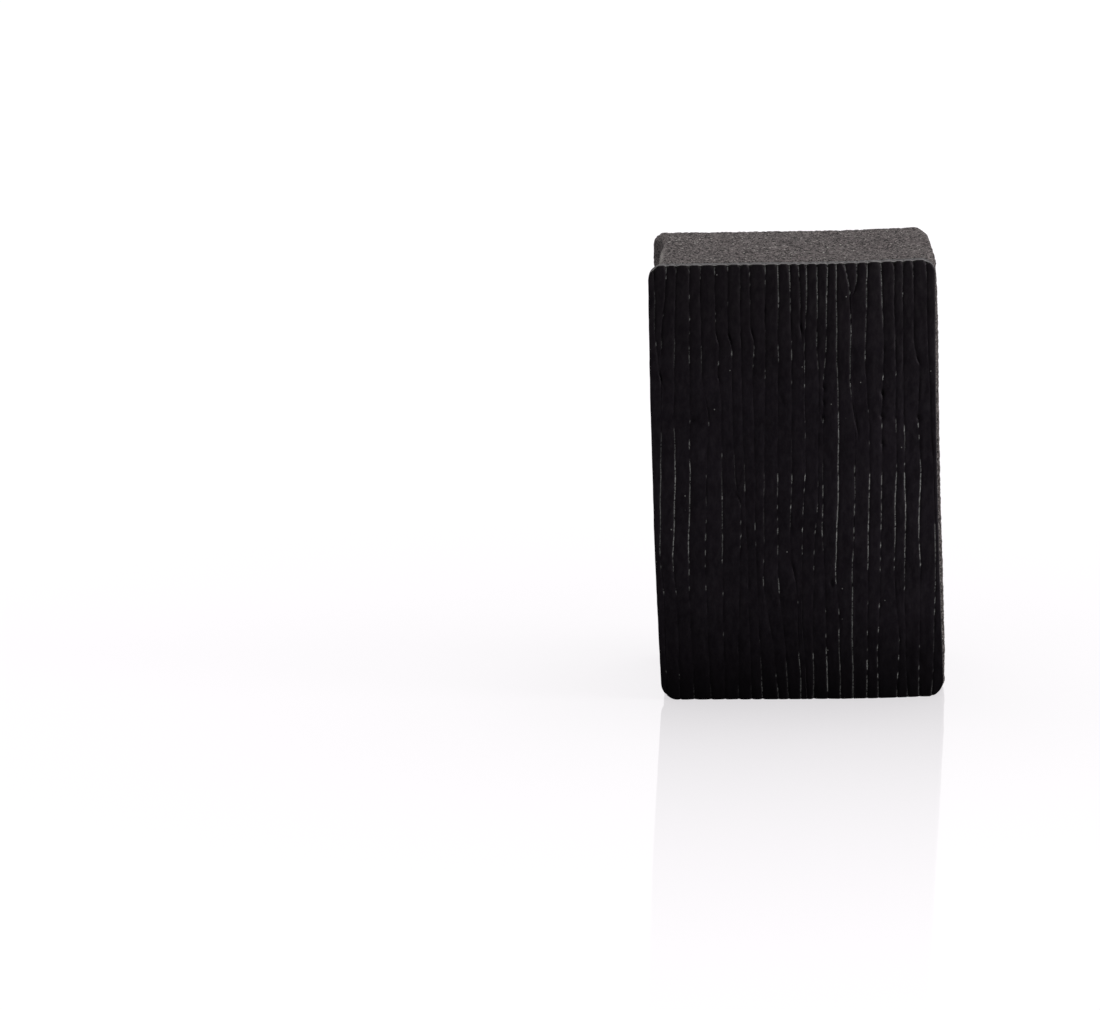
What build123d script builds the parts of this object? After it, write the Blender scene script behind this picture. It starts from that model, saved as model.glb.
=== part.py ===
from build123d import *
import os

# A clay block for decontaminating car paint, standing on one short end.
# Millimetres. +Z runs up the long side, the clay working face looks towards -Y and the
# back of the foam towards +Y. The origin is the middle of the end that it stands on.

# Driving dimensions
WIDTH = 60.0  # across the working face, along X
LENGTH = 93.5  # along the working face, along Z
DEPTH = 40.0  # from the working face to the back of the foam, along Y
CORNER_RADIUS = 3.0  # the block's four corners, seen from the working face

CLAY_THICKNESS = 2.5  # polymer rubber layer
CLAY_RIM_RADIUS = 0.4  # soft rim of the working face
BOND_THICKNESS = 0.3  # adhesive film
BOND_INSET = 0.5  # the film stops this far inside the block's outline

GRIP_DEPTH = 1.6  # how far each long side is hollowed for the fingers
GRIP_LIP = 2.0  # flat margin left between a hollow and the foam's front or back
FOAM_EDGE_RADIUS = 0.8  # eased edge round the back of the foam

# Places along Y, from the working face to the back
FRONT = -DEPTH / 2
BOND_FRONT = FRONT + CLAY_THICKNESS
FOAM_FRONT = BOND_FRONT + BOND_THICKNESS
BACK = DEPTH / 2

# Each hollow is part of a large circle, seen along Z
GRIP_FRONT = FOAM_FRONT + GRIP_LIP
GRIP_BACK = BACK - GRIP_LIP
GRIP_MIDDLE = (GRIP_FRONT + GRIP_BACK) / 2
GRIP_HALF_CHORD = (GRIP_BACK - GRIP_FRONT) / 2
GRIP_RADIUS = (GRIP_HALF_CHORD**2 + GRIP_DEPTH**2) / (2 * GRIP_DEPTH)
GRIP_CENTRE_X = WIDTH / 2 - GRIP_DEPTH + GRIP_RADIUS

CENTRE_HEIGHT = LENGTH / 2


def outline_plane(y):
    """A plane across the block at one depth, facing the back, centred on its height."""
    return Plane(origin=(0, y, CENTRE_HEIGHT), x_dir=(-1, 0, 0), z_dir=(0, 1, 0))


os.makedirs("parts", exist_ok=True)

# The clay layer: a rounded slab whose front rim is soft.
with BuildPart() as clay_face:
    with BuildSketch(outline_plane(FRONT)):
        RectangleRounded(WIDTH, LENGTH, CORNER_RADIUS)
    extrude(amount=CLAY_THICKNESS)
    front_rim = clay_face.faces().sort_by(Axis.Y)[0].edges()
    fillet(front_rim, CLAY_RIM_RADIUS)

# The adhesive film, held back from the outline so that only its shadow line shows.
with BuildPart() as bond_layer:
    with BuildSketch(outline_plane(BOND_FRONT)):
        RectangleRounded(WIDTH - 2 * BOND_INSET, LENGTH - 2 * BOND_INSET, CORNER_RADIUS - BOND_INSET)
    extrude(amount=BOND_THICKNESS)

# The foam grip: the same outline, with a shallow hollow down each long side.
with BuildPart() as foam_block:
    with BuildSketch(outline_plane(FOAM_FRONT)):
        RectangleRounded(WIDTH, LENGTH, CORNER_RADIUS)
    extrude(amount=BACK - FOAM_FRONT)
    back_edges = foam_block.faces().sort_by(Axis.Y)[-1].edges()
    fillet(back_edges, FOAM_EDGE_RADIUS)
    with BuildSketch(Plane.XY.offset(CENTRE_HEIGHT)):
        with Locations((-GRIP_CENTRE_X, GRIP_MIDDLE), (GRIP_CENTRE_X, GRIP_MIDDLE)):
            Circle(GRIP_RADIUS)
    extrude(amount=LENGTH, both=True, mode=Mode.SUBTRACT)

for piece, label in (
    (clay_face, "clay_face"),
    (bond_layer, "bond_layer"),
    (foam_block, "foam_block"),
):
    piece.part.label = label

export_step(clay_face.part, "parts/clay_face.step")
export_step(bond_layer.part, "parts/bond_layer.step")
export_step(foam_block.part, "parts/foam_block.step")
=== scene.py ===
import math

import bpy
import numpy as np
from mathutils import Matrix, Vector, noise
from mathutils.geometry import delaunay_2d_cdt


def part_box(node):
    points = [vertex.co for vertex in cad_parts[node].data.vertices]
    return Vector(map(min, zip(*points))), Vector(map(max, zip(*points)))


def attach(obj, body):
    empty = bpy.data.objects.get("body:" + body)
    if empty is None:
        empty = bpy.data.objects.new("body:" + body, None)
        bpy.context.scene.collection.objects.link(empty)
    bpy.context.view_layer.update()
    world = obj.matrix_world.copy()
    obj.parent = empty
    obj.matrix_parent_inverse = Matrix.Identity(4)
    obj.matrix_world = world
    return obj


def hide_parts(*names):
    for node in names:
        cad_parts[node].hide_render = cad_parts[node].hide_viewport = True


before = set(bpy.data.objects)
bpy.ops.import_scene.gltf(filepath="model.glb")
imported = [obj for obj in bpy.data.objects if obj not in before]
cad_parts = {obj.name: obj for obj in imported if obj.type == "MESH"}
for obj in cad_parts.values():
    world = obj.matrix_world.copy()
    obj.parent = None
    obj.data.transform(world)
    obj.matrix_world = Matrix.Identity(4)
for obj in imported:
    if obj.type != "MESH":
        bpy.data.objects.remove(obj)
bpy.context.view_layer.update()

# A clay block that stands on one short end: a waisted foam grip, an adhesive film and a layer of
# creased black clay rubber. Metres, in the CAD frame: +Z up, the clay face towards -Y.

MM = 0.001

CLAY_LOW, CLAY_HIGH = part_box("clay_face")
BOND_LOW, BOND_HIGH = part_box("bond_layer")
FOAM_LOW, FOAM_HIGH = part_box("foam_block")
WIDTH = CLAY_HIGH.x - CLAY_LOW.x
LENGTH = CLAY_HIGH.z - CLAY_LOW.z
HALF_WIDTH = WIDTH / 2
HALF_LENGTH = LENGTH / 2
CORNER_RADIUS = 0.05 * WIDTH
FOOT_RADIUS = 0.06 * WIDTH

# How the soft block stands: it leans and bows a little to one side, and its right end turns back
SWELL = 1.003
LEAN = -3.2 * MM
BOW = 2.1 * MM
SKEW = 0.063
TURN_BOTTOM = 0.12
TURN_TOP = 0.17
TURN_START = 11.3 * MM
TURN_SOFTNESS = 6 * MM
TOP_SLOPE = 0.010

# The foam was cut a little off the clay's outline: it is narrower, most at its front and back, and
# its right side bulges between the two ends. Seen from above it bows to the right.
FOAM_INSET = 0.35 * MM
FOAM_INSET_AT_EDGES = 0.7 * MM
FOAM_BULGE = 0.83 * MM
FOAM_BULGE_SQUARENESS = 8
FOAM_SHIFT = (0.62 * MM, 3.4 * MM, -5.2 * MM)  # at the front, its slope and its bend towards the back
LEFT_FULLNESS = 0.95 * MM  # the left hollow is shallower near the clay
FULLNESS_DEPTH = 0.36  # as shares of the foam's depth
FULLNESS_SPREAD = 0.20
SQUARER_LEFT_CORNERS = 0.05
SQUARER_RIGHT_CORNERS = 0.12


def smooth_steps(value, low, high):
    """0 below low, 1 above high, and smooth between them."""
    share = np.clip((value - low) / (high - low), 0, 1)
    return share * share * (3 - 2 * share)


def settle(points):
    """Moves points of the straight block to where the leaning, slightly bowed one has them."""
    x, y, z = np.asarray(points, float).T
    x = x * SWELL
    height = z / LENGTH
    from_turn = x - TURN_START
    turned = (from_turn + np.hypot(from_turn, TURN_SOFTNESS)) / 2
    leaning = LEAN * (height - 0.5) + BOW * ((height - 0.5) ** 2 - 1 / 12)
    turn = TURN_BOTTOM + (TURN_TOP - TURN_BOTTOM) * height
    return np.stack([x + leaning + SKEW * y, y + turn * turned, z * SWELL + TOP_SLOPE * height * x], axis=1)


def foam_depth(y):
    """How deep in the foam a place is: 0 at its glued front and 1 at its back."""
    return (y - FOAM_LOW.y) / (FOAM_HIGH.y - FOAM_LOW.y)


def recut(points):
    """Moves points of the foam from the clay's outline to its own."""
    x, y, z = np.asarray(points, float).T
    depth = foam_depth(y)
    past_x = np.maximum(np.abs(x) - (HALF_WIDTH - CORNER_RADIUS), 0)
    past_z = np.maximum(np.abs(z - HALF_LENGTH) - (HALF_LENGTH - CORNER_RADIUS), 0)
    diagonal = 2 * past_x * past_z / np.maximum(past_x**2 + past_z**2, 1e-12)
    squarer = np.where(x > 0, SQUARER_RIGHT_CORNERS, SQUARER_LEFT_CORNERS) * diagonal
    x = x + np.sign(x) * past_x * squarer
    z = np.maximum(z + np.sign(z - HALF_LENGTH) * past_z * squarer, 0)
    start, slope, bend = FOAM_SHIFT
    inset = FOAM_INSET + FOAM_INSET_AT_EDGES * (2 * depth - 1) ** 2
    bulge = FOAM_BULGE * (1 - (2 * z / LENGTH - 1) ** FOAM_BULGE_SQUARENESS)
    bulge *= smooth_steps(x, -HALF_WIDTH, HALF_WIDTH)
    fuller = LEFT_FULLNESS * np.exp(-(((depth - FULLNESS_DEPTH) / FULLNESS_SPREAD) ** 2))
    fuller *= smooth_steps(-x, -HALF_WIDTH, HALF_WIDTH)
    shift = start + slope * depth + bend * depth**2 + bulge - fuller
    return np.stack([x * (1 - inset / HALF_WIDTH) + shift, y, z], axis=1)


# Camera

VIEW_DISTANCE = 1.3
VIEW_PITCH = math.radians(12.73)
VIEW_YAW = math.radians(1.0)
VIEW_RIGHT_OF_MIDDLE = 52.7 * MM
VIEW_ABOVE_MIDDLE = 8.8 * MM
LENS_MM = 199.3


def make_camera():
    """A long lens, a little above the block, with the block right of the picture's middle."""
    forward = Vector((
        math.sin(VIEW_YAW) * math.cos(VIEW_PITCH),
        math.cos(VIEW_YAW) * math.cos(VIEW_PITCH),
        -math.sin(VIEW_PITCH),
    ))
    right = Vector((math.cos(VIEW_YAW), -math.sin(VIEW_YAW), 0))
    up = right.cross(forward)
    centre = Vector((0, 0, HALF_LENGTH))
    data = bpy.data.cameras.new("camera")
    data.sensor_width = 36
    data.lens = LENS_MM
    data.clip_start = 0.05
    data.clip_end = 20
    camera = bpy.data.objects.new("camera", data)
    aim = centre - VIEW_RIGHT_OF_MIDDLE * right - VIEW_ABOVE_MIDDLE * up
    camera.location = aim - VIEW_DISTANCE * forward
    camera.rotation_euler = forward.to_track_quat("-Z", "Y").to_euler()
    bpy.context.scene.collection.objects.link(camera)
    bpy.context.scene.camera = camera


make_camera()


# Node helpers


def new_material(name):
    """An empty node material with its Principled shader and its output joined."""
    material = bpy.data.materials.new(name)
    material.use_nodes = True
    tree = material.node_tree
    tree.nodes.clear()
    shader = tree.nodes.new("ShaderNodeBsdfPrincipled")
    output = tree.nodes.new("ShaderNodeOutputMaterial")
    tree.links.new(shader.outputs[0], output.inputs["Surface"])
    return material, tree, shader


def add_node(tree, kind, **values):
    """A node of this kind, with sockets or settings given by name."""
    node = tree.nodes.new("ShaderNode" + kind)
    for name, value in values.items():
        socket = node.inputs.get(name.replace("_", " "))
        if socket is None:
            setattr(node, name, value)
        elif isinstance(value, bpy.types.NodeSocket):
            tree.links.new(value, socket)
        else:
            socket.default_value = value
    return node


def ramp(tree, value, low, high, dark=(0, 0, 0), light=(1, 1, 1)):
    """A ramp from one colour to another as value goes from low to high."""
    node = add_node(tree, "ValToRGB", Fac=value)
    node.color_ramp.elements[0].position = low
    node.color_ramp.elements[0].color = (*dark, 1)
    node.color_ramp.elements[1].position = high
    node.color_ramp.elements[1].color = (*light, 1)
    return node.outputs["Color"]


def mix_colours(tree, share, first, second):
    """A mix of two colours. Either may be a socket or a plain colour."""
    node = tree.nodes.new("ShaderNodeMix")
    node.data_type = "RGBA"
    tree.links.new(share, node.inputs[0])
    for socket, value in ((node.inputs[6], first), (node.inputs[7], second)):
        if isinstance(value, bpy.types.NodeSocket):
            tree.links.new(value, socket)
        else:
            socket.default_value = (*value, 1)
    return node.outputs[2]


def multiply_colours(tree, first, second):
    """The product of two colour sockets."""
    node = tree.nodes.new("ShaderNodeMix")
    node.data_type = "RGBA"
    node.blend_type = "MULTIPLY"
    node.inputs[0].default_value = 1
    tree.links.new(first, node.inputs[6])
    tree.links.new(second, node.inputs[7])
    return node.outputs[2]


def calculate(tree, operation, first, second, clamp=False):
    """The result of a Math node on two values or sockets."""
    node = tree.nodes.new("ShaderNodeMath")
    node.operation = operation
    node.use_clamp = clamp
    for socket, value in zip(node.inputs, (first, second)):
        if isinstance(value, bpy.types.NodeSocket):
            tree.links.new(value, socket)
        else:
            socket.default_value = value
    return node.outputs[0]


def stretched_coordinates(tree, scale):
    """Object coordinates, scaled by axis."""
    place = add_node(tree, "TexCoord")
    mapping = add_node(tree, "Mapping", Vector=place.outputs["Object"])
    mapping.inputs["Scale"].default_value = scale
    return mapping.outputs[0]


# Mesh helpers


def make_piece(name, points, faces, material):
    """A smooth-shaded mesh piece that rides on the block's one body."""
    mesh = bpy.data.meshes.new(name)
    mesh.from_pydata([tuple(p) for p in points], [], faces)
    mesh.validate()
    mesh.shade_smooth()
    mesh.materials.append(material)
    piece = bpy.data.objects.new(name, mesh)
    bpy.context.scene.collection.objects.link(piece)
    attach(piece, "root")
    return piece


def store(piece, name, values):
    """Keeps one number per point on the mesh for its material to read."""
    attribute = piece.data.attributes.new(name, "FLOAT", "POINT")
    attribute.data.foreach_set("value", np.asarray(values, np.float32))


def corner_radius(z):
    """The clay's corner radius: larger where it stands than at the top."""
    return np.where(z < HALF_LENGTH, FOOT_RADIUS, CORNER_RADIUS)


def outward(x, z):
    """Unit normals, in the XZ plane, of the clay's outline at points on its front rim."""
    from_middle = z - HALF_LENGTH
    radius = corner_radius(z)
    over_x = np.maximum(np.abs(x) - (HALF_WIDTH - radius), 0) * np.sign(x)
    over_z = np.maximum(np.abs(from_middle) - (HALF_LENGTH - radius), 0) * np.sign(from_middle)
    size = np.maximum(np.hypot(over_x, over_z), 1e-12)
    return over_x / size, over_z / size


def filled_outline(x, z, spacing):
    """Inner points and triangles that fill a closed outline, given as x and z round its edge."""
    edge = [Vector((a, b)) for a, b in zip(x, z)]
    count = len(edge)
    inside = []
    for a in np.arange(x.min() + spacing, x.max() - 0.7 * spacing, spacing):
        for b in np.arange(z.min() + spacing, z.max() - 0.7 * spacing, spacing):
            over_x = max(abs(a) - HALF_WIDTH + CORNER_RADIUS, 0)
            over_z = max(abs(b - HALF_LENGTH) - HALF_LENGTH + CORNER_RADIUS, 0)
            if math.hypot(over_x, over_z) < CORNER_RADIUS - MM:
                inside.append(Vector((a, b)))
    loop = [(i, (i + 1) % count) for i in range(count)]
    points, _, triangles, *_ = delaunay_2d_cdt(edge + inside, loop, [], 1, 1e-9)
    return points[count:], triangles


# The clay face, in mm: places are from the left edge and heights are from the foot. Each crease has
# its path, as (height, place), and the pale dust in it, as (from, to, strength), from the top down.
CREASES = (
    (
        ((93.5, 1.3), (78, 1.3), (70, 2.4), (56, 2.1), (40, 1.5), (31, 1.1), (23, 1.6), (0, 1.2)),
        ((89, 80, 0.25), (77.8, 77, 0.7), (58, 53, 0.45), (53, 40, 0.85), (40, 31, 0.7), (28.8, 28.2, 0.7),
         (23.5, 22.6, 0.9), (5.3, 4.8, 0.6)),
    ),
    (
        ((93.5, 5.9), (80, 5.4), (60, 4.9), (48, 4.9), (38, 4.3), (30, 3.7), (22, 4.3), (0, 4.0)),
        ((93, 92, 0.3), (78, 72, 0.35), (58.8, 52, 0.55), (52, 40, 1.0), (40, 31, 0.9), (30.5, 28, 0.7),
         (24, 23, 0.5), (5.3, 4.7, 0.9)),
    ),
    (
        ((93.5, 8.6), (70, 8.4), (50, 8.0), (42, 7.7), (35, 7.3), (27, 7.0), (0, 7.0)),
        ((93.5, 92, 0.4), (87.3, 86.7, 0.8), (82.6, 82, 0.8), (79.6, 79.1, 0.5), (76.5, 72.7, 0.6),
         (60.5, 60, 0.5), (56.2, 54.4, 0.9), (52, 37.5, 0.85), (37, 31.5, 1.0), (31, 29.6, 0.6),
         (28.3, 27, 0.8), (24.4, 23.8, 0.8), (3, 0, 0.25)),
    ),
    (
        ((93.5, 10.9), (70, 10.9), (61, 12.2), (48, 11.4), (36, 10.9), (28, 10.5), (0, 10.5)),
        ((93.5, 92, 0.35), (91.3, 90.8, 0.5), (76.5, 70.8, 0.35), (60, 59.5, 0.8), (48.8, 48.2, 0.5),
         (44, 42, 0.25), (39, 38.4, 0.7), (36, 34.6, 0.9), (32.5, 31.4, 0.7), (29.3, 28.7, 0.6),
         (24.7, 23.9, 1.0), (3, 0, 0.2)),
    ),
    (
        ((93.5, 13.9), (80, 13.9), (76, 14.7), (70, 14.2), (66, 14.9), (50, 14.7), (36, 14.4), (24, 14.0),
         (0, 13.5)),
        ((93.2, 91.8, 0.7), (83.7, 83.1, 0.6), (82.1, 81.5, 0.5), (73, 72.3, 1.0), (53.3, 52.5, 0.6),
         (50, 44.6, 0.3), (44.4, 43.4, 0.9), (43, 38, 0.45), (37.8, 37.2, 0.9), (36, 31, 0.6),
         (30.4, 29.8, 0.8), (23.3, 22.7, 0.6), (14.3, 13.8, 0.6)),
    ),
    (
        ((93.5, 16.6), (80, 16.5), (76, 17.3), (60, 17.2), (47, 17.4), (42, 18.5), (34, 18.1), (15, 17.0),
         (0, 16.3)),
        ((93.3, 92.4, 0.8), (85.8, 85.2, 0.5), (75.4, 74.3, 0.9), (53, 46, 0.2), (42.3, 41.7, 0.4),
         (38.7, 38.1, 0.8), (35.9, 34.9, 0.7), (33.4, 32.9, 0.4), (3, 0, 0.15)),
    ),
    (
        ((93.5, 19.1), (60, 19.3), (30, 19.5), (0, 19.1)),
        ((92, 86, 0.12), (89.3, 88.8, 0.4), (51, 47, 0.2), (47, 45, 0.6), (3, 0, 0.15)),
    ),
    (
        ((93.5, 21.1), (80, 21.3), (77, 22.0), (72, 21.6), (46, 21.6), (37, 21.3), (0, 21.4)),
        ((92.1, 91.4, 0.7), (89.7, 89.2, 0.5), (86, 85.5, 0.4), (76.5, 75, 0.35), (75, 74.2, 1.0),
         (72.4, 71.8, 0.6), (38.2, 36.8, 0.6), (34, 33.3, 0.4), (12.8, 12.3, 0.4), (9, 5, 0.2), (5, 0, 0.5)),
    ),
    (
        ((93.5, 24.4), (70, 24.2), (48, 23.5), (30, 22.9), (24, 22.6), (12, 24.2), (0, 24.8)),
        ((93.3, 91.8, 0.7), (90.3, 89.4, 0.6), (80, 75, 0.15), (71.2, 70.7, 0.5), (70, 69.4, 0.6),
         (49, 44, 0.25), (42, 34, 0.2), (30.2, 29.7, 0.6), (26.5, 24.6, 0.6), (5.3, 4.8, 0.6), (3, 0, 0.5)),
    ),
    (
        ((93.5, 27.1), (70, 26.9), (48, 26.3), (32, 25.9), (24, 25.8), (14, 26.6), (0, 26.9)),
        ((93.5, 90, 1.0), (90, 84.5, 0.8), (84, 80, 0.3), (76.3, 75.6, 0.8), (75.5, 73, 0.5),
         (48.8, 47, 1.0), (47, 44, 0.45), (42, 41.3, 0.9), (39.3, 38.8, 0.6), (37.2, 35.8, 1.0),
         (33.5, 31.4, 0.45), (26, 23, 0.8), (8, 0, 0.3), (1.4, 0.8, 0.6)),
    ),
    (
        ((93.5, 29.4), (75, 29.8), (48, 29.3), (34, 28.5), (27, 29.2), (20, 29.8), (9, 29.4), (5, 29.8),
         (0, 29.4)),
        ((93.5, 88, 0.85), (86.5, 83.5, 0.5), (77.3, 76.8, 0.5), (75.5, 73.2, 0.6), (68.8, 68.2, 0.5),
         (57, 50, 0.12), (48.6, 46.8, 0.9), (46, 42.5, 0.3), (42, 41.2, 0.95), (41, 37, 0.35),
         (21.3, 20.7, 0.5), (10, 5, 0.7), (4.5, 3.7, 1.0), (3.5, 0, 0.8)),
    ),
    (
        ((93.5, 33.0), (83, 32.9), (76, 32.4), (57, 32.3), (48, 32.1), (41, 31.5), (32, 31.0), (20, 30.4),
         (0, 30.8)),
        ((93.5, 88, 0.85), (88, 83, 0.6), (82, 80, 0.3), (77, 75, 0.3), (73, 70.6, 0.7), (68.2, 67.5, 0.7),
         (60.2, 59.7, 0.3), (57.5, 56.5, 0.3), (48.6, 47.3, 0.9), (45.6, 44.9, 0.7), (42.5, 40, 0.5),
         (37.1, 36.2, 0.95), (33.2, 32.5, 0.6), (31.8, 31.2, 0.6)),
    ),
    (
        ((93.5, 35.2), (86, 35.2), (76, 35.0), (70, 35.4), (50, 34.9), (41, 34.5), (36, 33.9), (28, 33.3),
         (18, 32.8), (0, 32.2)),
        ((93, 90, 0.7), (90, 86, 1.0), (86, 82, 0.6), (79, 76, 0.6), (75, 71, 0.35), (47, 46, 0.3),
         (42.2, 40.5, 0.5), (37.8, 37.2, 0.5), (36.7, 35.8, 0.9), (32.2, 31.4, 0.5), (28.8, 28.1, 0.8),
         (9.8, 8.5, 0.7), (8, 0, 0.45)),
    ),
    (
        ((93.5, 37.3), (80, 37.1), (73, 36.8), (69, 36.3), (50, 35.9), (36, 35.4), (26, 35.6), (0, 35.2)),
        ((93.4, 85, 1.0), (85, 80, 0.6), (78, 76, 0.5), (75.8, 75, 1.0), (73.5, 71.5, 0.5), (70, 69, 0.6),
         (60.4, 59.7, 0.8), (52, 47, 0.2), (46.2, 43.6, 0.9), (42, 39.3, 0.7), (38.2, 35.2, 0.9),
         (34, 31.5, 0.3), (19.3, 18.6, 0.6), (13.9, 13.3, 0.7), (10.9, 9.5, 0.9), (9.5, 1.5, 0.85)),
    ),
    (
        ((93.5, 39.2), (75, 39.2), (61, 39.4), (48, 39.1), (42, 38.8), (36, 38.5), (28, 37.9), (18, 38.3),
         (0, 37.9)),
        ((93.5, 88, 0.9), (88, 76, 0.7), (76, 63, 0.6), (62, 49, 0.85), (48.5, 37, 1.0), (36.5, 28, 1.0),
         (27.5, 25, 0.8), (19.3, 18.3, 0.8), (15, 13.2, 0.8), (13, 3, 0.4), (7.3, 6, 0.6), (2.8, 0, 0.7)),
    ),
    (
        ((93.5, 40.8), (88, 42.1), (78, 42.2), (68, 41.9), (59, 42.9), (48, 42.6), (36, 42.1), (28, 41.5),
         (14, 41.0), (0, 40.6)),
        ((93.3, 92, 0.6), (91.5, 88.6, 0.7), (87.7, 86.9, 0.95), (82.8, 81.9, 0.95), (80.6, 78, 1.0),
         (78, 69, 0.7), (68.4, 67.3, 0.9), (67, 65, 0.3), (50.3, 48.8, 0.9), (48, 43, 0.5), (42, 39.6, 0.8),
         (37.2, 35.8, 1.0), (35, 34.2, 0.9), (32.2, 29.5, 0.8), (29, 25, 0.7), (24.2, 21.3, 1.0),
         (21, 15, 0.85), (15, 11, 0.95), (11, 3, 0.75), (3, 0, 1.0)),
    ),
    (
        ((93.5, 45.7), (84, 45.5), (72, 45.1), (60, 45.8), (48, 45.7), (38, 45.2), (28, 44.8), (14, 44.2),
         (0, 43.5)),
        ((93.5, 89, 0.95), (88.5, 84, 0.7), (83, 76, 0.45), (75, 73.8, 0.6), (73.8, 73, 1.0),
         (62.2, 61.7, 0.4), (55.4, 54.9, 0.5), (48.5, 45, 0.95), (44.5, 38.5, 0.75), (38.4, 36, 1.0),
         (35.5, 29.5, 0.8), (29.2, 28, 1.0), (20.9, 20.3, 0.5), (14.5, 13.6, 0.7), (10.7, 10.2, 0.5),
         (8.2, 6.2, 1.0), (4.7, 0, 0.7)),
    ),
    (
        ((93.5, 48.6), (85, 48.8), (76, 49.2), (66, 48.7), (48, 48.3), (36, 47.8), (28, 47.4), (20, 47.0),
         (11, 46.2), (0, 45.9)),
        ((93.4, 88.5, 0.8), (88, 84, 0.65), (83, 80, 0.4), (69.5, 68.6, 0.95), (59.1, 58.3, 0.95),
         (48.6, 46, 0.7), (45.3, 43, 0.7), (42, 38, 0.55), (37.4, 36.2, 1.0), (33.5, 32.5, 0.9),
         (30.4, 29.8, 0.6), (28.2, 27.4, 0.6), (20.3, 19.5, 0.9), (15.3, 14.2, 0.7), (11.3, 10.2, 1.0),
         (8.8, 6.5, 0.5), (5.1, 4.3, 0.95), (3.5, 0, 0.35)),
    ),
    (
        ((93.5, 51.3), (70, 51.6), (50, 51.4), (38, 50.9), (28, 50.3), (12, 50.9), (0, 49.9)),
        ((93, 88, 0.2), (78, 75, 0.2), (70, 69.4, 0.7), (60, 57.2, 0.55), (50.3, 49.7, 0.5), (48.7, 38, 0.85),
         (38, 36, 1.0), (36, 31.5, 0.6), (30.2, 29.5, 0.7), (28.3, 27.7, 0.7), (12.5, 11.9, 0.7),
         (8.9, 8.1, 0.95), (5.1, 4.2, 1.0), (1.4, 0.2, 0.4)),
    ),
    (
        ((93.5, 53.2), (48, 53.2), (36, 53.0), (28, 52.6), (20, 52.3), (0, 52.1)),
        ((93, 88, 0.15), (86.9, 86.3, 0.8), (58.7, 57, 0.8), (57, 53, 0.3), (50.5, 50, 0.8), (48.5, 44, 1.0),
         (44, 36, 0.9), (35.5, 28.5, 0.75), (28, 25, 0.3), (23.8, 23.2, 0.9), (1.2, 0.2, 0.3)),
    ),
    (
        ((93.5, 55.4), (76, 55.5), (71, 56.6), (60, 56.2), (48, 56.6), (40, 56.0), (34, 55.8), (29, 56.0),
         (0, 54.6)),
        ((93, 90, 0.3), (59, 58.2, 1.0), (56.3, 55.7, 0.8), (51.3, 48.5, 0.65), (48.3, 44, 1.0),
         (43.8, 37, 0.95), (37, 34, 0.8), (33, 29.5, 0.8), (28.9, 28.2, 0.9), (11.1, 10.6, 0.5),
         (6.6, 5.8, 0.6), (4, 0, 0.4)),
    ),
    (
        ((93.5, 58.1), (70, 58.6), (46, 59.3), (30, 59.3), (24, 59.0), (17, 58.6), (5, 57.9), (0, 57.2)),
        ((92, 89, 0.25), (37, 28.5, 0.85), (28, 24.5, 0.4), (24, 22, 0.8), (20.8, 19.4, 0.7),
         (18.1, 17.2, 1.0), (15.5, 9, 0.2), (5.3, 4.7, 0.4), (3, 0, 0.4)),
    ),
)
# Creases that join one of those from above: which one, the gap between them at the top, the height
# at which they meet, and the dust.
BRANCHES = (
    (0, 2.6, 74, ((93.5, 92, 0.6), (91.4, 90.7, 1.0), (83.3, 82.8, 0.4), (78, 76, 0.35))),
    (11, -1.7, 77, ((93.5, 91, 0.8), (90, 84, 0.25))),
    (15, 2.6, 87, ((93.4, 92.2, 0.7), (91.6, 89, 0.7))),
)
# Short slanted slits: place, height, half length and slant
SLITS = (
    (14.6, 77.2, 2.2, -0.27),
    (16.9, 77.8, 1.4, -0.32),
    (21.8, 78.4, 1.5, -0.27),
    (31.8, 79.8, 1.4, -0.28),
    (14.6, 69.2, 1.0, -0.40),
    (27.6, 65.0, 1.7, -0.40),
    (43.1, 59.5, 2.5, -0.12),
    (56.4, 72.2, 0.9, -0.45),
    (17.8, 44.0, 1.2, -0.50),
    (29.0, 28.5, 1.6, -0.27),
    (2.4, 69.5, 1.6, -0.25),
)
# Dents: place and height
DENTS = (
    (36.5, 67.3),
    (36.4, 64.2),
    (36.1, 60.8),
    (48.7, 65.8),
    (48.5, 60.8),
    (48.5, 55.0),
    (56.2, 60.1),
    (8.9, 60.7),
    (37.0, 25.2),
)
SLIT_WIDTH = 0.26 * MM
SLIT_DEPTH = 0.26 * MM
DENT_WIDTH = 0.42 * MM
DENT_LENGTH = 0.75 * MM
DENT_SLANT = -0.1
DENT_DEPTH = 0.38 * MM
DIMPLES = 60
WANDER_WAVES = 4
# How deep the creases are, in mm: everywhere, and more near the top, near both ends and where dusty
CREASE_DEPTH = 0.045
DEEPER_NEAR_TOP = 0.085
DEEPER_NEAR_ENDS = 0.05
DEEPER_WITH_DUST = 0.13
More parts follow.
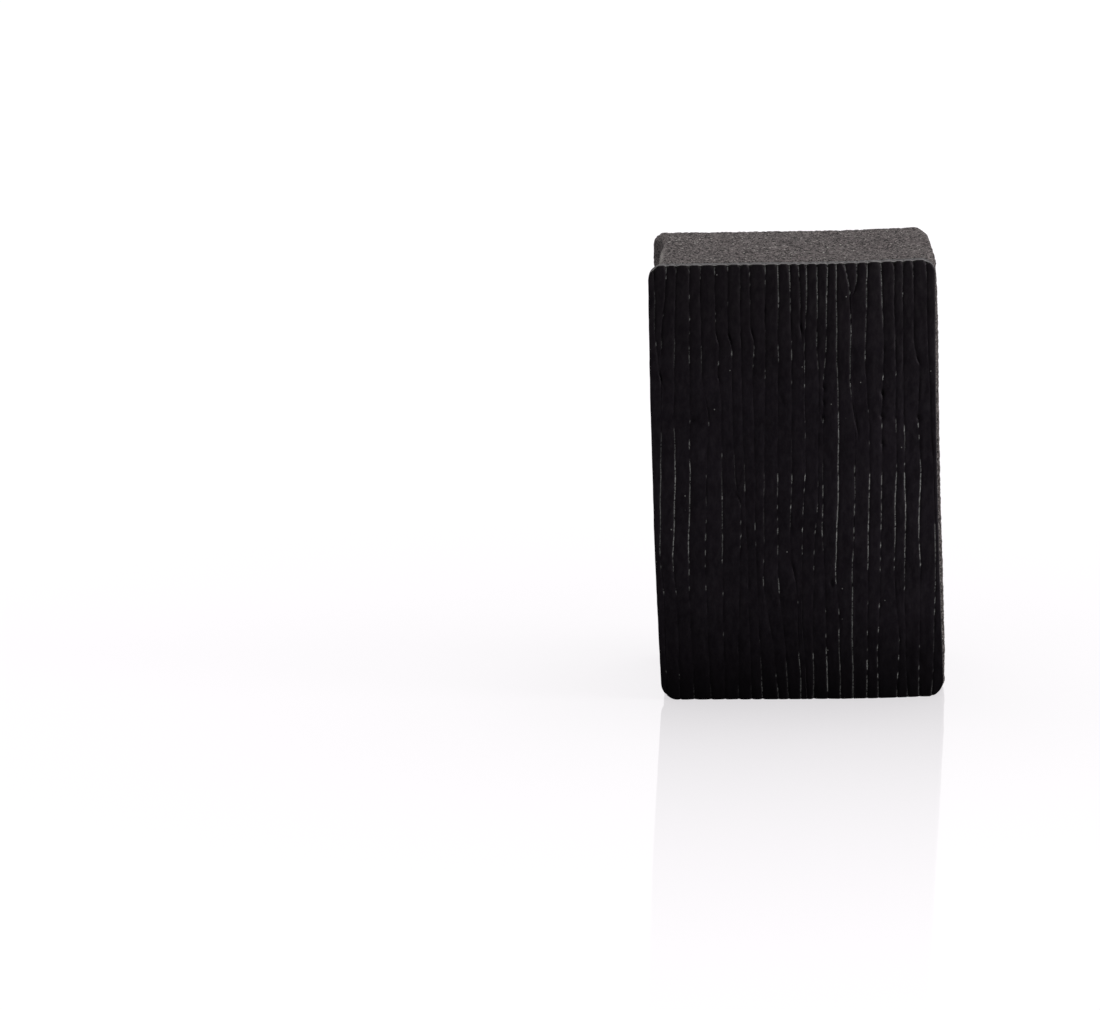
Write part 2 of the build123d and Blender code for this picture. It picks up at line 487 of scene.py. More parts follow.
# The grid of the face: its columns follow the creases, and are close together beside them
ROW_SPACING = 0.42 * MM
PANEL_COLUMNS = 5
LEAST_GAP = 0.4 * MM
CROWDED_GAP = 1.2 * MM  # panels narrower than this have narrower grooves
GROOVE_REACH = 0.42 * MM
GROOVE_STEPS = (0.07 * MM, 0.15 * MM, 0.26 * MM, 0.42 * MM)
CROWN = 0.10 * MM  # how far the middle of a wide panel stands proud
CREASE_FLARE = 0.35 * MM  # creases open out this close to the ends
FLARE_DEPTH = 0.22 * MM
DUST_RIGHT_OF_CREASE = 0.11 * MM
DUST_LEFT_OF_CREASE = 0.16 * MM
DUST_EDGE = 0.25 * MM
SHADE_REACH = 0.5 * MM
DEEP = 0.22 * MM  # a crease this deep is fully dark
DEEP_HOLLOW = 0.40 * MM
END_WEAR = 0.6  # how far the rim shows its cut colour where a crease runs over it
# Slow unevenness of the face: height of its waves, and their size across and along
UNEVENNESS = (
    (0.10, 9, 16),
    (0.07, 2.2, 26),
    (0.035, 1.0, 6),
    (0.045, 1.1, 1.6),
    (0.022, 0.6, 1.1),
)
RIM_RADIUS = 0.25 * MM
RIM_STEPS = 5
# The pale rings carry a painted highlight along the clay's rim
SIDE_RINGS = ((0.15, 1), (0.28, 0), (0.6, 0), (0.93, 0))  # depth as a share of the clay, and paleness
BACK_BEVEL = 0.12 * MM
FILL_SPACING = 3 * MM


def wander(rng, z, wavelength, size):
    """A smooth random curve along z."""
    total = np.zeros_like(z)
    for _ in range(WANDER_WAVES):
        turns = z / (wavelength * rng.uniform(0.6, 1.6))
        total += np.sin(2 * math.pi * (turns + rng.uniform(0, 1)))
    return size * total / 2


def soft_noise(rng, x, z, cell_x, cell_z):
    """Smooth random values from -1 to 1 over a plane, with cells of the given size."""
    across = (x - x.min()) / cell_x
    along = (z - z.min()) / cell_z
    grid = rng.uniform(-1, 1, (int(across.max()) + 3, int(along.max()) + 3))
    i = across.astype(int)
    j = along.astype(int)
    s = smooth_steps(across - i, 0, 1)
    t = smooth_steps(along - j, 0, 1)
    near = grid[i, j] * (1 - s) + grid[i + 1, j] * s
    far = grid[i, j + 1] * (1 - s) + grid[i + 1, j + 1] * s
    return near * (1 - t) + far * t


def softened(values, steps):
    """A running average over so many steps to each side."""
    window = np.ones(2 * steps + 1) / (2 * steps + 1)
    return np.convolve(np.pad(values, steps, mode="edge"), window, mode="valid")


def dust_along(rng, z, stretches):
    """How much dust a crease holds at each height: the longer stretches are broken into dashes."""
    dashes = np.clip(0.8 + wander(rng, z, 5 * MM, 0.25) + wander(rng, z, 1.5 * MM, 0.30), 0.1, 1.15)
    dust = np.zeros_like(z)
    for top, bottom, strength in stretches:
        above_bottom = smooth_steps(z, bottom * MM - DUST_EDGE, bottom * MM + DUST_EDGE)
        below_top = 1 - smooth_steps(z, top * MM - DUST_EDGE, top * MM + DUST_EDGE)
        broken = 1 - (1 - dashes) * (1.15 - 0.75 * strength) if top - bottom > 2 else 1
        dust = np.maximum(dust, strength * above_bottom * below_top * broken)
    return dust


def crease_lines(rng, z):
    """Each crease's x, depth and dust at the heights z, from left to right."""
    near_top = smooth_steps(z, 0.60 * LENGTH, 0.92 * LENGTH)
    near_end = np.exp(-np.minimum(z, LENGTH - z) / (1.5 * MM))
    lines = []
    for path, stretches in CREASES:
        heights, places = np.array(path[::-1]).T * MM
        x = softened(np.interp(z, heights, places), 4) - HALF_WIDTH
        x += wander(rng, z, 14 * MM, 0.05 * MM) + wander(rng, z, 3 * MM, 0.022 * MM)
        dust = dust_along(rng, z, stretches)
        worked = 1 - 0.6 * smooth_steps(x, 0.3 * WIDTH, 0.4 * WIDTH)
        depth = CREASE_DEPTH + DEEPER_NEAR_TOP * near_top * worked
        depth += DEEPER_NEAR_ENDS * near_end + DEEPER_WITH_DUST * dust
        depth += wander(rng, z, 9 * MM, 0.045) + wander(rng, z, 2.5 * MM, 0.025)
        lines.append((x, np.maximum(depth, 0.01) * MM, dust))
    for parent, gap, meet, stretches in BRANCHES:
        above = np.clip((z - meet * MM) / (LENGTH - meet * MM), 0, 1)
        aside = math.copysign(LEAST_GAP, gap)
        x = lines[parent][0] + aside + (gap * MM - aside) * above**0.6
        shown = smooth_steps(above, 0, 0.12)
        dust = dust_along(rng, z, stretches) * shown
        lines.append((x, (0.16 + 0.12 * dust) * MM * shown, dust))
    lines.sort(key=lambda line: line[0][-1])
    return lines


def panel_columns(left, right):
    """Column places across one panel: close together beside its two creases."""
    gap = right - left
    squeeze = np.minimum(1, gap / CROWDED_GAP)
    reach = GROOVE_REACH * squeeze
    columns = [left]
    columns += [left + step * squeeze for step in GROOVE_STEPS]
    for part in range(1, PANEL_COLUMNS + 1):
        columns.append(left + reach + (gap - 2 * reach) * part / (PANEL_COLUMNS + 1))
    columns += [right - step * squeeze for step in reversed(GROOVE_STEPS)]
    return columns


def clay_grid(rng):
    """The front grid by row and column: x, z, relief, dust, worn ends of creases, and shade."""
    inner_width = HALF_WIDTH - RIM_RADIUS
    inner_length = HALF_LENGTH - RIM_RADIUS
    rows = round(LENGTH / ROW_SPACING)
    share = np.linspace(0, 1, rows + 1)
    z = share * LENGTH
    lines = crease_lines(rng, z)
    nothing = np.zeros_like(z)
    lines = [(nothing - inner_width, nothing, nothing), *lines, (nothing + inner_width, nothing, nothing)]
    places = [lines[0][0]]
    for k in range(1, len(lines) - 1):
        places.append(np.maximum(lines[k][0], places[-1] + LEAST_GAP))
    places.append(lines[-1][0])
    for k in range(len(lines) - 2, 0, -1):
        places[k] = np.minimum(places[k], places[k + 1] - LEAST_GAP)

    from_end = np.minimum(z, LENGTH - z)
    ending = np.exp(-((from_end / CREASE_FLARE) ** 2)) * np.where(z > HALF_LENGTH, 1, 0.3)
    crowns = CROWN * (0.55 + 0.45 * smooth_steps(z, 0.6 * LENGTH, 0.9 * LENGTH))
    x, relief, dust, worn, shade = [], [], [], [], []
    for k in range(len(lines) - 1):
        left, right = places[k], places[k + 1]
        _, left_depth, left_dust = lines[k]
        _, right_depth, right_dust = lines[k + 1]
        gap = right - left
        squeeze = np.minimum(1, gap / CROWDED_GAP)
        reach = GROOVE_REACH * squeeze * (1 + 0.5 * ending)
        sharpness = 1.6 - 0.5 * ending
        for column in panel_columns(left, right):
            from_left = column - left
            from_right = right - column
            near_left = np.clip(1 - from_left / reach, 0, 1) ** sharpness
            near_right = np.clip(1 - from_right / reach, 0, 1) ** sharpness
            groove = (left_depth + FLARE_DEPTH * ending * (left_depth > 0)) * near_left
            groove += (right_depth + FLARE_DEPTH * ending * (right_depth > 0)) * near_right
            crown = crowns * np.minimum(1, gap / (2 * CROWDED_GAP)) * 4 * from_left * from_right / gap**2
            x.append(column)
            relief.append(crown - groove)
            pale = left_dust * np.clip(1 - from_left / DUST_RIGHT_OF_CREASE, 0, 1)
            pale += right_dust * np.clip(1.25 - from_right / DUST_LEFT_OF_CREASE, 0, 1)
            dust.append(pale)
            worn.append(ending * np.maximum(near_left * (left_depth > 0), near_right * (right_depth > 0)))
            dark = left_depth / DEEP * np.clip(1 - from_left / (SHADE_REACH * squeeze), 0, 1)
            shade.append(dark + 0.4 * right_depth / DEEP * near_right)
    x.append(places[-1])
    for part in (relief, dust, worn, shade):
        part.append(nothing)
    x, relief, dust, worn, shade = (np.array(part).T for part in (x, relief, dust, worn, shade))

    towards_end = 2 * share[:, None] - 1
    inner_radius = corner_radius(HALF_LENGTH * (1 + towards_end)) - RIM_RADIUS
    past_corner = np.clip(np.abs(x) - (inner_width - inner_radius), 0, inner_radius)
    reach_z = inner_length - inner_radius + np.sqrt(inner_radius**2 - past_corner**2)
    z = HALF_LENGTH + towards_end * reach_z
    return x, z, relief, dust, worn, shade


def hollow(x, z, centre_x, centre_z, wide, long, slant, depth):
    """The relief of one short slanted hollow."""
    across = x - centre_x - slant * (z - centre_z)
    return -depth * np.exp(-((across / wide) ** 2) - ((z - centre_z) / long) ** 2)


def dents(x, z):
    """The relief of the larger slits and dents of the face."""
    total = np.zeros_like(x)
    for place, height, long, slant in SLITS:
        centre_x = place * MM - HALF_WIDTH
        total += hollow(x, z, centre_x, height * MM, SLIT_WIDTH, long * MM, slant, SLIT_DEPTH)
    for place, height in DENTS:
        centre_x = place * MM - HALF_WIDTH
        total += hollow(x, z, centre_x, height * MM, DENT_WIDTH, DENT_LENGTH, DENT_SLANT, DENT_DEPTH)
    return total


def dimples(rng, x, z):
    """The relief of many slight hollows scattered over the face."""
    total = np.zeros_like(x)
    for _ in range(DIMPLES):
        centre_x = rng.uniform(-0.46, 0.46) * WIDTH
        centre_z = rng.uniform(0.06, 0.95) * LENGTH
        slant = rng.uniform(-0.25, 0.15)
        wide = rng.uniform(0.25, 0.5) * MM
        long = rng.uniform(0.9, 2.4) * MM
        total += hollow(x, z, centre_x, centre_z, wide, long, slant, rng.uniform(0.04, 0.13) * MM)
    return total


def clay_material():
    """Near-black clay rubber with a soft shine, pale dust in its creases, painted shade in its creases and
    dents and towards its foot, a painted highlight along its rim and a greyer cut edge.
    """
    material, tree, shader = new_material("clay_rubber")
    plain = stretched_coordinates(tree, (1, 1, 1))
    streaky = stretched_coordinates(tree, (1, 1, 0.12))
    streaky_haze = stretched_coordinates(tree, (1, 1, 0.45))
    dust = add_node(tree, "Attribute", attribute_name="dust").outputs["Fac"]
    edge = add_node(tree, "Attribute", attribute_name="edge").outputs["Fac"]
    rim = add_node(tree, "Attribute", attribute_name="rim").outputs["Fac"]
    shade = add_node(tree, "Attribute", attribute_name="shade").outputs["Fac"]

    cloud = add_node(tree, "TexNoise", Vector=plain, Scale=140, Detail=3).outputs["Fac"]
    rubber = ramp(tree, cloud, 0.35, 0.68, (0.0030, 0.0020, 0.0036), (0.0070, 0.0052, 0.0078))
    grain = add_node(tree, "TexNoise", Vector=plain, Scale=1900, Detail=4).outputs["Fac"]
    cut = ramp(tree, grain, 0.35, 0.65, (0.024, 0.023, 0.023), (0.135, 0.129, 0.130))
    # Painted highlight: the rim's rounded edge and the front of the cut side are paler
    rim_highlight = ramp(tree, grain, 0.3, 0.7, (0.14, 0.136, 0.136), (0.27, 0.262, 0.262))
    colour = mix_colours(tree, edge, rubber, mix_colours(tree, rim, cut, rim_highlight))
    film = add_node(tree, "TexNoise", Vector=streaky_haze, Scale=900, Detail=6, Roughness=0.75).outputs["Fac"]
    open_face = calculate(tree, "SUBTRACT", 1, shade, clamp=True)
    haze = calculate(tree, "MULTIPLY", ramp(tree, film, 0.42, 0.78), 0.16)
    haze = calculate(tree, "MULTIPLY", haze, open_face)
    colour = mix_colours(tree, haze, colour, (0.085, 0.078, 0.085))
    height = add_node(tree, "SeparateXYZ", Vector=plain).outputs["Z"]
    # Painted shade: the clay is darker over its lowest 20 mm, towards the floor
    foot_shade = ramp(tree, height, 0.0, 0.020, (0.09, 0.08, 0.10), (1, 1, 1))
    colour = multiply_colours(tree, colour, foot_shade)
    cleaner = ramp(tree, height, 0.066, 0.088, (1, 1, 1), (0.91, 0.93, 0.83))
    colour = multiply_colours(tree, colour, mix_colours(tree, edge, cleaner, (1, 1, 1)))
    colour = multiply_colours(tree, colour, ramp(tree, open_face, 0, 1, (0.35, 0.35, 0.35), (1, 1, 1)))

    crumbs = add_node(tree, "TexNoise", Vector=plain, Scale=2600, Detail=3).outputs["Fac"]
    broken = ramp(tree, crumbs, 0.34, 0.52)
    dust_share = calculate(tree, "MULTIPLY", calculate(tree, "POWER", dust, 1.5), broken, clamp=True)
    colour = mix_colours(tree, dust_share, colour, (0.52, 0.52, 0.51))

    cells = add_node(tree, "TexVoronoi", Vector=plain, Scale=330)
    near = ramp(tree, cells.outputs["Distance"], 0.035, 0.055, (1, 1, 1), (0, 0, 0))
    chosen = add_node(tree, "SeparateColor", Color=cells.outputs["Color"]).outputs[0]
    rare = ramp(tree, chosen, 0.84, 0.86)
    speck = calculate(tree, "MULTIPLY", near, rare)
    colour = mix_colours(tree, speck, colour, (0.22, 0.22, 0.21))
    tree.links.new(colour, shader.inputs["Base Color"])

    shine = add_node(tree, "TexNoise", Vector=streaky, Scale=420, Detail=5).outputs["Fac"]
    roughness = add_node(tree, "MapRange", Value=shine)
    roughness.inputs["To Min"].default_value = 0.34
    roughness.inputs["To Max"].default_value = 0.58
    rough = calculate(tree, "MAXIMUM", roughness.outputs[0], calculate(tree, "MAXIMUM", dust_share, edge))
    tree.links.new(calculate(tree, "MINIMUM", rough, 0.9), shader.inputs["Roughness"])
    shader.inputs["Specular IOR Level"].default_value = 0.12
    shader.inputs["Specular Tint"].default_value = (1.0, 0.86, 1.0, 1)

    streaks = add_node(tree, "TexNoise", Vector=streaky, Scale=900, Detail=3).outputs["Fac"]
    skin = calculate(tree, "ADD", streaks, calculate(tree, "MULTIPLY", grain, 0.5))
    bump = add_node(tree, "Bump", Height=skin, Strength=0.35, Distance=0.06 * MM)
    tree.links.new(bump.outputs[0], shader.inputs["Normal"])
    return material


def make_clay():
    """The clay layer: creased front, rounded rim, cut sides and flat back."""
    rng = np.random.default_rng(11)
    x, z, relief, dust, worn, shade = clay_grid(rng)
    sunk = dents(x, z)
    relief = relief + sunk + dimples(rng, x, z)
    shade = np.minimum(shade - sunk / DEEP_HOLLOW, 1)
    for size, across, along in UNEVENNESS:
        relief += size * MM * soft_noise(rng, x, z, across * MM, along * MM)
    rows, columns = x.shape
    number = np.arange(rows * columns).reshape(rows, columns)
    front_y = CLAY_LOW.y - relief
    points = [np.stack([x.ravel(), front_y.ravel(), z.ravel()], axis=1)]
    dusts = [dust.ravel()]
    edges = [END_WEAR * worn.ravel()]
    rims = [np.zeros(x.size)]
    shades = [shade.ravel()]
    corners = np.stack([number[:-1, :-1], number[:-1, 1:], number[1:, 1:], number[1:, :-1]], axis=-1)
    faces = corners.reshape(-1, 4).tolist()

    loop = np.concatenate([number[0, :-1], number[:-1, -1], number[-1, :0:-1], number[:0:-1, 0]])
    loop_x, loop_z = x.ravel()[loop], z.ravel()[loop]
    loop_relief, loop_dust = relief.ravel()[loop], dust.ravel()[loop]
    loop_worn, loop_shade = worn.ravel()[loop], shade.ravel()[loop]
    out_x, out_z = outward(loop_x, loop_z)
    count = len(loop)
    last = loop
    total = rows * columns

    def add_ring(push_out, back, tilt, keep, edge, rim=0):
        """One more loop round the rim or side, joined to the one before it."""
        nonlocal last, total
        lift = loop_relief * keep
        shift = push_out + lift * math.sin(tilt)
        ring = np.stack([
            loop_x + out_x * shift,
            CLAY_LOW.y + back - lift * math.cos(tilt),
            np.maximum(loop_z + out_z * shift, 0),
        ], axis=1)
        points.append(ring)
        dusts.append(loop_dust * (1 - 0.7 * edge))
        edges.append(np.maximum(edge, END_WEAR * loop_worn))
        rims.append(np.full(count, rim))
        shades.append(loop_shade * (1 - edge))
        here = np.arange(total, total + count)
        quads = np.stack([last, here, np.roll(here, -1), np.roll(last, -1)], axis=1)
        faces.extend(quads.tolist())
        last = here
        total += count

    for step in range(1, RIM_STEPS + 1):
        tilt = math.pi / 2 * step / RIM_STEPS
        push_out = RIM_RADIUS * math.sin(tilt)
        share = step / RIM_STEPS
        add_ring(push_out, RIM_RADIUS * (1 - math.cos(tilt)), tilt, 1 - 0.5 * share, share**6, rim=1)
    thickness = CLAY_HIGH.y - CLAY_LOW.y
    for share, rim in SIDE_RINGS:
        add_ring(RIM_RADIUS, share * thickness, math.pi / 2, 0.5 - 0.4 * share, 1, rim)
    add_ring(RIM_RADIUS - BACK_BEVEL, thickness, math.pi / 2, 0.1, 1)

    back = points[-1]
    inner, triangles = filled_outline(back[:, 0], back[:, 2], FILL_SPACING)
    points.append(np.array([(a, CLAY_HIGH.y, b) for a, b in inner]))
    dusts.append(np.zeros(len(inner)))
    edges.append(np.ones(len(inner)))
    rims.append(np.zeros(len(inner)))
    shades.append(np.zeros(len(inner)))
    first_inner = total
    for triangle in triangles:
        faces.append([last[i] if i < count else first_inner + i - count for i in triangle])

    piece = make_piece("clay_rubber_layer", settle(np.concatenate(points)), faces, clay_material())
    for name, parts in (("dust", dusts), ("edge", edges), ("rim", rims), ("shade", shades)):
        store(piece, name, np.concatenate(parts))
    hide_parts("clay_face")


# The adhesive film

OUTLINE_SPACING = 0.8 * MM


def bond_material():
    """Dark glue, slightly glossy and uneven."""
    material, tree, shader = new_material("adhesive")
    plain = stretched_coordinates(tree, (1, 1, 1))
    cloud = add_node(tree, "TexNoise", Vector=plain, Scale=700, Detail=3).outputs["Fac"]
    colour = ramp(tree, cloud, 0.3, 0.7, (0.012, 0.012, 0.012), (0.035, 0.034, 0.032))
    tree.links.new(colour, shader.inputs["Base Color"])
    shader.inputs["Roughness"].default_value = 0.45
    bump = add_node(tree, "Bump", Height=cloud, Strength=0.4, Distance=0.05 * MM)
    tree.links.new(bump.outputs[0], shader.inputs["Normal"])
    return material


def rounded_outline(half_width, half_length, radius, spacing):
    """Points round a rounded rectangle, as x and z from its middle."""
    x, z = [], []
    for quarter in range(4):
        side_x = 1 if quarter in (0, 3) else -1
        side_z = 1 if quarter in (0, 1) else -1
        for angle in np.radians(np.linspace(0, 90, 9)) + quarter * math.pi / 2:
            x.append(side_x * (half_width - radius) + radius * math.cos(angle))
            z.append(side_z * (half_length - radius) + radius * math.sin(angle))
    x, z = np.array(x), np.array(z)
    step = np.hypot(np.roll(x, -1) - x, np.roll(z, -1) - z)
    along = np.concatenate([[0], np.cumsum(step)])
    places = np.linspace(0, along[-1], round(along[-1] / spacing), endpoint=False)
    return np.interp(places, along, np.append(x, x[0])), np.interp(places, along, np.append(z, z[0]))


def make_bond():
    """The film between clay and foam, held back from the outline."""
    half_width = (BOND_HIGH.x - BOND_LOW.x) / 2
    half_length = (BOND_HIGH.z - BOND_LOW.z) / 2
    radius = CORNER_RADIUS - (HALF_WIDTH - half_width)
    x, z = rounded_outline(half_width, half_length, radius, OUTLINE_SPACING)
    z = z + HALF_LENGTH
    count = len(x)
    inner, triangles = filled_outline(x, z, FILL_SPACING)
    flat = [*zip(x, z), *[tuple(p) for p in inner]]
    points = [(a, BOND_LOW.y, b) for a, b in flat] + [(a, BOND_HIGH.y, b) for a, b in flat]
    behind = len(flat)
    faces = [list(t) for t in triangles] + [[behind + i for i in reversed(t)] for t in triangles]
    for i in range(count):
        j = (i + 1) % count
        faces.append([j, i, behind + i, behind + j])
    piece = make_piece("adhesive_film", settle(points), faces, bond_material())
    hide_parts("bond_layer")


# The foam grip

FOAM_VOXEL = 0.485 * MM
FOAM_CELL = 0.29 * MM
END_CELL_STRETCH = 0.62
FOAM_PIT = 0.10 * MM
CLUMP_SIZE = 1.1 * MM
FOAM_LUMP = 0.08 * MM
LUMP_SIZE = 9 * MM
# A painted highlight: a pale strip along the top's left edge, near the clay
RIDGE_HIGHLIGHT_PLACE = 0.35 * MM
RIDGE_HIGHLIGHT_WIDTH = 0.5 * MM
RIDGE_HIGHLIGHT_DEPTH = 0.22  # as a share of the foam's depth, for its middle and for its spread


def foam_material():
    """Charcoal fine-cell foam: small dark pits between paler walls, partly the foam's grain and partly
    painted shade, with a painted highlight along the top's left edge, matt all over.
    """
    material, tree, shader = new_material("grip_foam")
    side_cells = stretched_coordinates(tree, (1, 1, 1))
    end_cells = stretched_coordinates(tree, (1, END_CELL_STRETCH, 1))
    facing = add_node(tree, "NewGeometry").outputs["Normal"]
    up = calculate(tree, "ABSOLUTE", add_node(tree, "SeparateXYZ", Vector=facing).outputs["Z"], 0)
    on_end = ramp(tree, up, 0.6, 0.8)
    place = mix_colours(tree, on_end, side_cells, end_cells)
    speckle = add_node(tree, "TexVoronoi", Vector=place, Scale=1 / FOAM_CELL).outputs["Color"]
    speckle = add_node(tree, "SeparateColor", Color=speckle).outputs[0]
    walls = add_node(tree, "TexVoronoi", Vector=place, Scale=0.7 / FOAM_CELL).outputs["Distance"]
    # Painted shade in the pits: points pushed in by the grain are darker and those pushed out paler, over the
    # foam's own cell pattern
    cell = add_node(tree, "Attribute", attribute_name="cell").outputs["Fac"]
    mixed = calculate(tree, "MULTIPLY", speckle, 0.50)
    mixed = calculate(tree, "ADD", mixed, calculate(tree, "MULTIPLY", walls, 0.35))
    mixed = calculate(tree, "ADD", mixed, calculate(tree, "MULTIPLY", cell, 0.25))
    colour = ramp(tree, mixed, 0.30, 0.84, (0.004, 0.003, 0.003), (0.160, 0.140, 0.138))
    patches = add_node(tree, "TexNoise", Vector=side_cells, Scale=260, Detail=3).outputs["Fac"]
    tint = ramp(tree, patches, 0.3, 0.7, (0.80, 0.77, 0.78), (1.0, 1.0, 1.0))
    colour = multiply_colours(tree, colour, tint)
    glint = calculate(tree, "MULTIPLY", ramp(tree, speckle, 0.975, 0.985), 0.7)
    colour = mix_colours(tree, glint, colour, (0.30, 0.29, 0.27))
    # Painted highlight along the top's left edge
    ridge_highlight = add_node(tree, "Attribute", attribute_name="ridge_highlight").outputs["Fac"]
    colour = mix_colours(tree, calculate(tree, "MULTIPLY", ridge_highlight, 0.7), colour, (0.28, 0.26, 0.25))
    tree.links.new(colour, shader.inputs["Base Color"])
    shader.inputs["Roughness"].default_value = 0.95
    shader.inputs["Specular IOR Level"].default_value = 0.2
    bump = add_node(tree, "Bump", Height=mixed, Strength=0.8, Distance=0.14 * MM)
    tree.links.new(bump.outputs[0], shader.inputs["Normal"])
    return material


def painted_ridge_highlight(points, normals):
    """How far each point of the foam is on the pale strip along the top's left edge: a painted highlight
    where that edge catches the light.
    """
    x, y, _ = points.T
    rows = np.round((y - FOAM_LOW.y) / FOAM_VOXEL).astype(int)
    rows -= rows.min()
    edge = np.zeros(rows.max() + 1)
    np.minimum.at(edge, rows, x)
    across = np.exp(-(((x - edge[rows] - RIDGE_HIGHLIGHT_PLACE) / RIDGE_HIGHLIGHT_WIDTH) ** 2))
    along = np.exp(-(((foam_depth(y) - RIDGE_HIGHLIGHT_DEPTH) / RIDGE_HIGHLIGHT_DEPTH) ** 2))
    return across * along * (normals[:, 2] > 0.5)


def make_foam():
    """The foam grip: the CAD block as an even fine mesh, with a grain cut by its cells."""
    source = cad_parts["foam_block"]
    rough = bpy.data.objects.new("foam_rough", source.data.copy())
    bpy.context.scene.collection.objects.link(rough)
    remesh = rough.modifiers.new("remesh", "REMESH")
    remesh.mode = "VOXEL"
    remesh.voxel_size = FOAM_VOXEL
    graph = bpy.context.evaluated_depsgraph_get()
    mesh = bpy.data.meshes.new_from_object(rough.evaluated_get(graph), depsgraph=graph)
    bpy.data.objects.remove(rough)

    count = len(mesh.vertices)
    points = np.empty(count * 3)
    mesh.vertices.foreach_get("co", points)
    points = points.reshape(-1, 3)
    normals = np.empty(count * 3)
    mesh.vertex_normals.foreach_get("vector", normals)
    normals = normals.reshape(-1, 3)
    cells = np.random.default_rng(5).uniform(-1, 1, count)
    clumps = np.array([noise.noise(Vector(p / CLUMP_SIZE)) for p in points])
    lumps = np.array([noise.noise(Vector(p / LUMP_SIZE)) for p in points])
    glued = normals[:, 1] < -0.9
    push = np.where(glued, 0, FOAM_PIT * (cells + 0.5 * clumps - 0.4) + FOAM_LUMP * lumps)
    # The painted highlight strip along the top's left edge
    ridge_highlight = painted_ridge_highlight(points, normals)
    points = points + normals * push[:, None]
    points[:, 2] = np.clip(points[:, 2], 0, LENGTH)
    mesh.vertices.foreach_set("co", settle(recut(points)).ravel())
    mesh.materials.clear()
    mesh.materials.append(foam_material())
    mesh.shade_smooth()
    mesh.update()
    piece = bpy.data.objects.new("foam_grip", mesh)
    bpy.context.scene.collection.objects.link(piece)
    # How far the grain pushes each point out, which the material also paints as shade in the pits
    store(piece, "cell", 0.5 + 0.5 * cells)
    store(piece, "ridge_highlight", ridge_highlight)
    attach(piece, "root")
    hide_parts("foam_block")


# Floor, background and light

TABLE_HALF_SIDE = 6.0
REFLECTION = 0.26
REFLECTION_FADE = 100 * MM
TABLE_GLOW = 0.88  # how bright the table looks beside the block
TABLE_WHITER_BY = 0.6  # and over what distance it turns white
TABLE_ALBEDO = 0.12
TABLE_FILL = 0.42  # how much light the table throws up at the block
SHADED_NEAR = 80 * MM
BACK_GLOW = 0.8
FRONT_GLOW = 0.12
SOFTBOXES = (  # name, place, size and power
    ("top_light", (0.15, 0.05, 1.2), 0.7, 9),
    ("right_light", (1.1, -0.20, 0.35), 0.4, 9),
)


def distance_from_block(tree):
    """How far a point of the floor is from the block's footprint."""
    place = add_node(tree, "TexCoord").outputs["Object"]
    axes = add_node(tree, "SeparateXYZ", Vector=place).outputs
    outside = []
    for axis, half in (("X", HALF_WIDTH), ("Y", -CLAY_LOW.y)):
        size = calculate(tree, "ABSOLUTE", axes[axis], 0)
        outside.append(calculate(tree, "MAXIMUM", calculate(tree, "SUBTRACT", size, half), 0))
    squares = [calculate(tree, "MULTIPLY", part, part) for part in outside]
    return calculate(tree, "SQRT", calculate(tree, "ADD", *squares), 0)


def fading(tree, distance, length):
    """1 at the block, falling off exponentially over the length."""
    return calculate(tree, "POWER", math.e, calculate(tree, "MULTIPLY", distance, -1 / length))


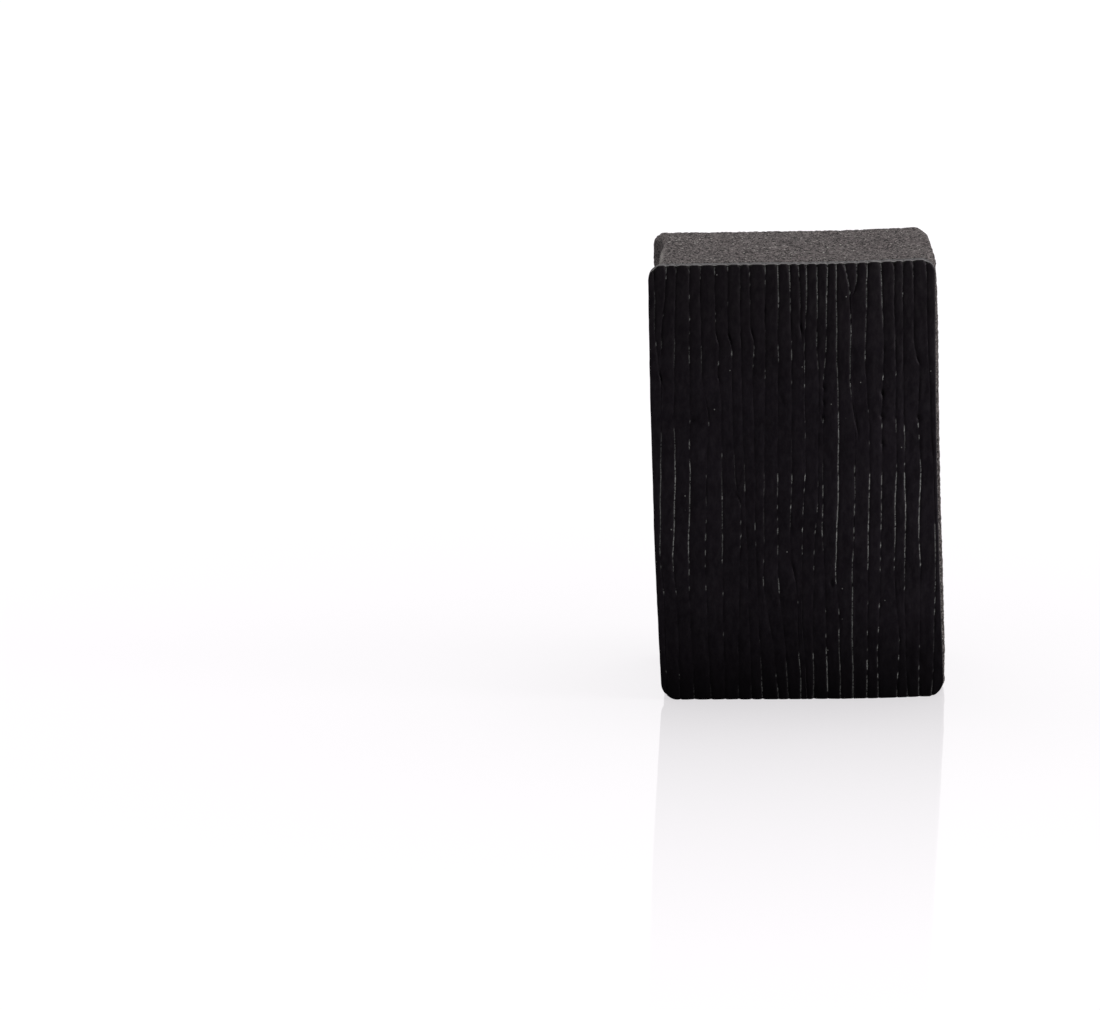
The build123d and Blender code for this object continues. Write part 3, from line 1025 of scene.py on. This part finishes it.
def make_floor():
    """A white glossy table whose reflection of the block fades with distance."""
    material = bpy.data.materials.new("white_table")
    material.use_nodes = True
    tree = material.node_tree
    tree.nodes.clear()
    distance = distance_from_block(tree)
    share = calculate(tree, "MULTIPLY", fading(tree, distance, REFLECTION_FADE), REFLECTION)
    lit_far = calculate(tree, "SUBTRACT", 1, fading(tree, distance, SHADED_NEAR))
    fill = calculate(tree, "MULTIPLY", lit_far, TABLE_FILL)
    seen = add_node(tree, "LightPath").outputs["Is Camera Ray"]
    near = calculate(tree, "MULTIPLY", fading(tree, distance, TABLE_WHITER_BY), 1 - TABLE_GLOW)
    for_camera = calculate(tree, "MULTIPLY", seen, calculate(tree, "SUBTRACT", 1, near))
    for_others = calculate(tree, "MULTIPLY", calculate(tree, "SUBTRACT", 1, seen), fill)
    glow = calculate(tree, "ADD", for_camera, for_others)
    white = add_node(tree, "Emission", Color=(1.0, 0.975, 1.0, 1), Strength=glow)
    lit = add_node(tree, "BsdfDiffuse", Color=(TABLE_ALBEDO, TABLE_ALBEDO, TABLE_ALBEDO, 1))
    gloss = add_node(tree, "BsdfGlossy", Color=(1, 1, 1, 1), Roughness=0.04)
    both = add_node(tree, "AddShader")
    tree.links.new(white.outputs[0], both.inputs[0])
    tree.links.new(lit.outputs[0], both.inputs[1])
    mixed = add_node(tree, "MixShader", Fac=share)
    tree.links.new(both.outputs[0], mixed.inputs[1])
    tree.links.new(gloss.outputs[0], mixed.inputs[2])
    output = add_node(tree, "OutputMaterial")
    tree.links.new(mixed.outputs[0], output.inputs["Surface"])

    mesh = bpy.data.meshes.new("table")
    signs = ((-1, -1), (1, -1), (1, 1), (-1, 1))
    corners = [(a * TABLE_HALF_SIDE, b * TABLE_HALF_SIDE, 0) for a, b in signs]
    mesh.from_pydata(corners, [], [(0, 1, 2, 3)])
    mesh.materials.append(material)
    floor = bpy.data.objects.new("table", mesh)
    bpy.context.scene.collection.objects.link(floor)


def make_world():
    """White to the camera. As a light it is bright behind the block and dim in front of it."""
    world = bpy.data.worlds.new("studio")
    world.use_nodes = True
    tree = world.node_tree
    tree.nodes.clear()
    direction = add_node(tree, "TexCoord").outputs["Generated"]
    towards_back = add_node(tree, "SeparateXYZ", Vector=direction).outputs["Y"]
    glow = add_node(tree, "MapRange", Value=towards_back, interpolation_type="SMOOTHSTEP")
    glow.inputs["From Min"].default_value = -0.5
    glow.inputs["From Max"].default_value = 0.6
    glow.inputs["To Min"].default_value = FRONT_GLOW
    glow.inputs["To Max"].default_value = BACK_GLOW
    seen = add_node(tree, "LightPath").outputs["Is Camera Ray"]
    strength = calculate(tree, "MAXIMUM", seen, glow.outputs[0])
    background = add_node(tree, "Background", Color=(1, 1, 1, 1), Strength=strength)
    output = add_node(tree, "OutputWorld")
    tree.links.new(background.outputs[0], output.inputs["Surface"])
    bpy.context.scene.world = world


def add_softbox(name, place, size, power):
    """A square area light that looks at the block and that the camera doesn't see."""
    data = bpy.data.lights.new(name, "AREA")
    data.size = size
    data.energy = power
    light = bpy.data.objects.new(name, data)
    light.location = place
    aim = Vector((0, 0, HALF_LENGTH)) - Vector(place)
    light.rotation_euler = aim.to_track_quat("-Z", "Y").to_euler()
    light.visible_camera = False
    bpy.context.scene.collection.objects.link(light)


make_clay()
make_bond()
make_foam()
make_floor()
make_world()
for softbox in SOFTBOXES:
    add_softbox(*softbox)

bpy.context.scene.view_settings.view_transform = "Standard"
